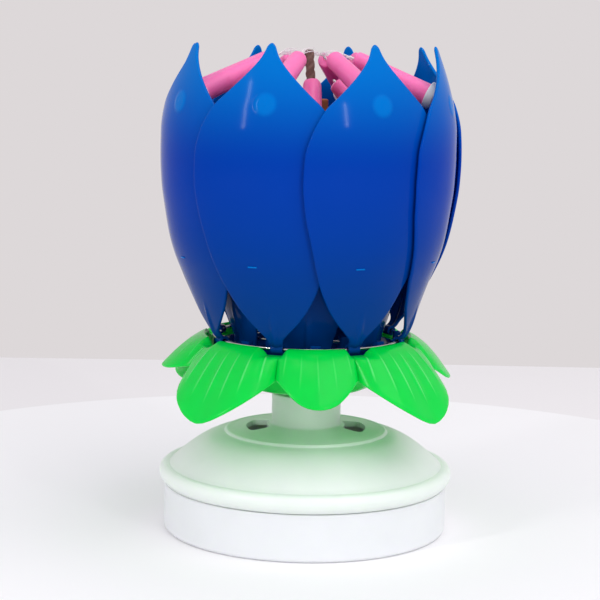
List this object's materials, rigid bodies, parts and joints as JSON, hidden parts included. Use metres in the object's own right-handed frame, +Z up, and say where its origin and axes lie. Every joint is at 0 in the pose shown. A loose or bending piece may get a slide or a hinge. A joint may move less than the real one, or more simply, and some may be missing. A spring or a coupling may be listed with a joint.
{
  "type": "musical birthday candle",
  "caption": "Closed lotus bud of hinged petals with small candles inside, which opens and turns on a round music base with a drooping leaf collar.",
  "frame": {"origin": "middle of the base's flat underside, which is also the middle of the bounding box's bottom", "axes": "+Z up along the flower's turning axis, front of the bud towards -Y, +X to the viewer's right"},
  "size_m": [0.0876, 0.0876, 0.1423],
  "materials": {
    "white_plastic": "moulded white plastic, faintly translucent, soft gloss",
    "green_plastic": "thin bright green moulded plastic, glossy",
    "blue_plastic": "thin royal blue moulded plastic, glossy",
    "cup_plastic": "white moulded plastic",
    "pink_wax": "dyed pink candle wax, satin",
    "steel": "bright plated steel",
    "gear_plastic": "natural white moulded plastic",
    "circuit_board": "green lacquered board",
    "cell_jacket": "plain printed foil jacket without lettering",
    "kraft_paper": "wound kraft paper tube",
    "brown_paper": "twisted brown paper fuse"
  },
  "bodies": {
    "root": {"bottom_housing": "white_plastic", "top_cover": "white_plastic", "left_screw": "steel", "right_screw": "steel", "battery_cell": "cell_jacket", "negative_contact": "steel", "positive_contact": "steel", "music_board": "circuit_board", "motor": "steel"},
    "battery_door": {"battery_door": "white_plastic"},
    "motor_pinion": {"motor_pinion": "gear_plastic"},
    "flower": {"drive_spindle": "gear_plastic", "calyx": "green_plastic", "petal_hub": "gear_plastic", "outer_hinge_wire": "steel", "inner_hinge_wire": "steel", "fountain_tube": "kraft_paper", "fuse": "brown_paper"},
    "outer_petal_1": {"outer_petal_1": "blue_plastic", "outer_cup_1": "cup_plastic", "outer_candle_1": "pink_wax"},
    "outer_petal_2": {"outer_petal_2": "blue_plastic", "outer_cup_2": "cup_plastic", "outer_candle_2": "pink_wax"},
    "outer_petal_3": {"outer_petal_3": "blue_plastic", "outer_cup_3": "cup_plastic", "outer_candle_3": "pink_wax"},
    "outer_petal_4": {"outer_petal_4": "blue_plastic", "outer_cup_4": "cup_plastic", "outer_candle_4": "pink_wax"},
    "outer_petal_5": {"outer_petal_5": "blue_plastic", "outer_cup_5": "cup_plastic", "outer_candle_5": "pink_wax"},
    "outer_petal_6": {"outer_petal_6": "blue_plastic", "outer_cup_6": "cup_plastic", "outer_candle_6": "pink_wax"},
    "outer_petal_7": {"outer_petal_7": "blue_plastic", "outer_cup_7": "cup_plastic", "outer_candle_7": "pink_wax"},
    "outer_petal_8": {"outer_petal_8": "blue_plastic", "outer_cup_8": "cup_plastic", "outer_candle_8": "pink_wax"},
    "inner_petal_1": {"inner_petal_1": "blue_plastic", "inner_cup_1": "cup_plastic", "inner_candle_1": "pink_wax"},
    "inner_petal_2": {"inner_petal_2": "blue_plastic", "inner_cup_2": "cup_plastic", "inner_candle_2": "pink_wax"},
    "inner_petal_3": {"inner_petal_3": "blue_plastic", "inner_cup_3": "cup_plastic", "inner_candle_3": "pink_wax"},
    "inner_petal_4": {"inner_petal_4": "blue_plastic", "inner_cup_4": "cup_plastic", "inner_candle_4": "pink_wax"},
    "inner_petal_5": {"inner_petal_5": "blue_plastic", "inner_cup_5": "cup_plastic", "inner_candle_5": "pink_wax"},
    "inner_petal_6": {"inner_petal_6": "blue_plastic", "inner_cup_6": "cup_plastic", "inner_candle_6": "pink_wax"}
  },
  "joints": [
    {"name": "flower_spin", "type": "hinge", "parent": "root", "child": "flower", "pos_m": [0, 0, 0.0407], "axis": [0, 0, 1], "continuous": true},
    {"name": "motor_spin", "type": "hinge", "parent": "root", "child": "motor_pinion", "pos_m": [0, -0.016, 0.0128], "axis": [0, 0, 1], "continuous": true},
    {"name": "battery_door_swing", "type": "hinge", "parent": "root", "child": "battery_door", "pos_m": [0, 0.0166, 0.001], "axis": [-1, 0, 0], "range_deg": [0, 100]},
    {"name": "outer_petal_1_open", "type": "hinge", "parent": "flower", "child": "outer_petal_1", "pos_m": [-0.00844, -0.02628, 0.0574], "axis": [0.9521, -0.3057, 0], "range_deg": [0, 50]},
    {"name": "outer_petal_2_open", "type": "hinge", "parent": "flower", "child": "outer_petal_2", "pos_m": [0.01262, -0.02455, 0.0574], "axis": [0.8894, 0.4571, 0], "range_deg": [0, 50]},
    {"name": "outer_petal_3_open", "type": "hinge", "parent": "flower", "child": "outer_petal_3", "pos_m": [0.02628, -0.00844, 0.0574], "axis": [0.3057, 0.9521, 0], "range_deg": [0, 50]},
    {"name": "outer_petal_4_open", "type": "hinge", "parent": "flower", "child": "outer_petal_4", "pos_m": [0.02455, 0.01262, 0.0574], "axis": [-0.4571, 0.8894, 0], "range_deg": [0, 50]},
    {"name": "outer_petal_5_open", "type": "hinge", "parent": "flower", "child": "outer_petal_5", "pos_m": [0.00844, 0.02628, 0.0574], "axis": [-0.9521, 0.3057, 0], "range_deg": [0, 50]},
    {"name": "outer_petal_6_open", "type": "hinge", "parent": "flower", "child": "outer_petal_6", "pos_m": [-0.01262, 0.02455, 0.0574], "axis": [-0.8894, -0.4571, 0], "range_deg": [0, 50]},
    {"name": "outer_petal_7_open", "type": "hinge", "parent": "flower", "child": "outer_petal_7", "pos_m": [-0.02628, 0.00844, 0.0574], "axis": [-0.3057, -0.9521, 0], "range_deg": [0, 50]},
    {"name": "outer_petal_8_open", "type": "hinge", "parent": "flower", "child": "outer_petal_8", "pos_m": [-0.02455, -0.01262, 0.0574], "axis": [0.4571, -0.8894, 0], "range_deg": [0, 50]},
    {"name": "inner_petal_1_open", "type": "hinge", "parent": "flower", "child": "inner_petal_1", "pos_m": [0, -0.0205, 0.0586], "axis": [1, 0, 0], "range_deg": [0, 36]},
    {"name": "inner_petal_2_open", "type": "hinge", "parent": "flower", "child": "inner_petal_2", "pos_m": [0.01775, -0.01025, 0.0586], "axis": [0.5, 0.866, 0], "range_deg": [0, 36]},
    {"name": "inner_petal_3_open", "type": "hinge", "parent": "flower", "child": "inner_petal_3", "pos_m": [0.01775, 0.01025, 0.0586], "axis": [-0.5, 0.866, 0], "range_deg": [0, 36]},
    {"name": "inner_petal_4_open", "type": "hinge", "parent": "flower", "child": "inner_petal_4", "pos_m": [0, 0.0205, 0.0586], "axis": [-1, 0, 0], "range_deg": [0, 36]},
    {"name": "inner_petal_5_open", "type": "hinge", "parent": "flower", "child": "inner_petal_5", "pos_m": [-0.01775, 0.01025, 0.0586], "axis": [-0.5, -0.866, 0], "range_deg": [0, 36]},
    {"name": "inner_petal_6_open", "type": "hinge", "parent": "flower", "child": "inner_petal_6", "pos_m": [-0.01775, -0.01025, 0.0586], "axis": [0.5, -0.866, 0], "range_deg": [0, 36]}
  ],
  "couplings": [
    {"joint": "motor_spin", "follows": "flower_spin", "ratio": -3},
    {"joint": "outer_petal_2_open", "follows": "outer_petal_1_open", "ratio": 1},
    {"joint": "outer_petal_3_open", "follows": "outer_petal_1_open", "ratio": 1},
    {"joint": "outer_petal_4_open", "follows": "outer_petal_1_open", "ratio": 1},
    {"joint": "outer_petal_5_open", "follows": "outer_petal_1_open", "ratio": 1},
    {"joint": "outer_petal_6_open", "follows": "outer_petal_1_open", "ratio": 1},
    {"joint": "outer_petal_7_open", "follows": "outer_petal_1_open", "ratio": 1},
    {"joint": "outer_petal_8_open", "follows": "outer_petal_1_open", "ratio": 1},
    {"joint": "inner_petal_1_open", "follows": "outer_petal_1_open", "ratio": 0.72},
    {"joint": "inner_petal_2_open", "follows": "outer_petal_1_open", "ratio": 0.72},
    {"joint": "inner_petal_3_open", "follows": "outer_petal_1_open", "ratio": 0.72},
    {"joint": "inner_petal_4_open", "follows": "outer_petal_1_open", "ratio": 0.72},
    {"joint": "inner_petal_5_open", "follows": "outer_petal_1_open", "ratio": 0.72},
    {"joint": "inner_petal_6_open", "follows": "outer_petal_1_open", "ratio": 0.72}
  ]
}
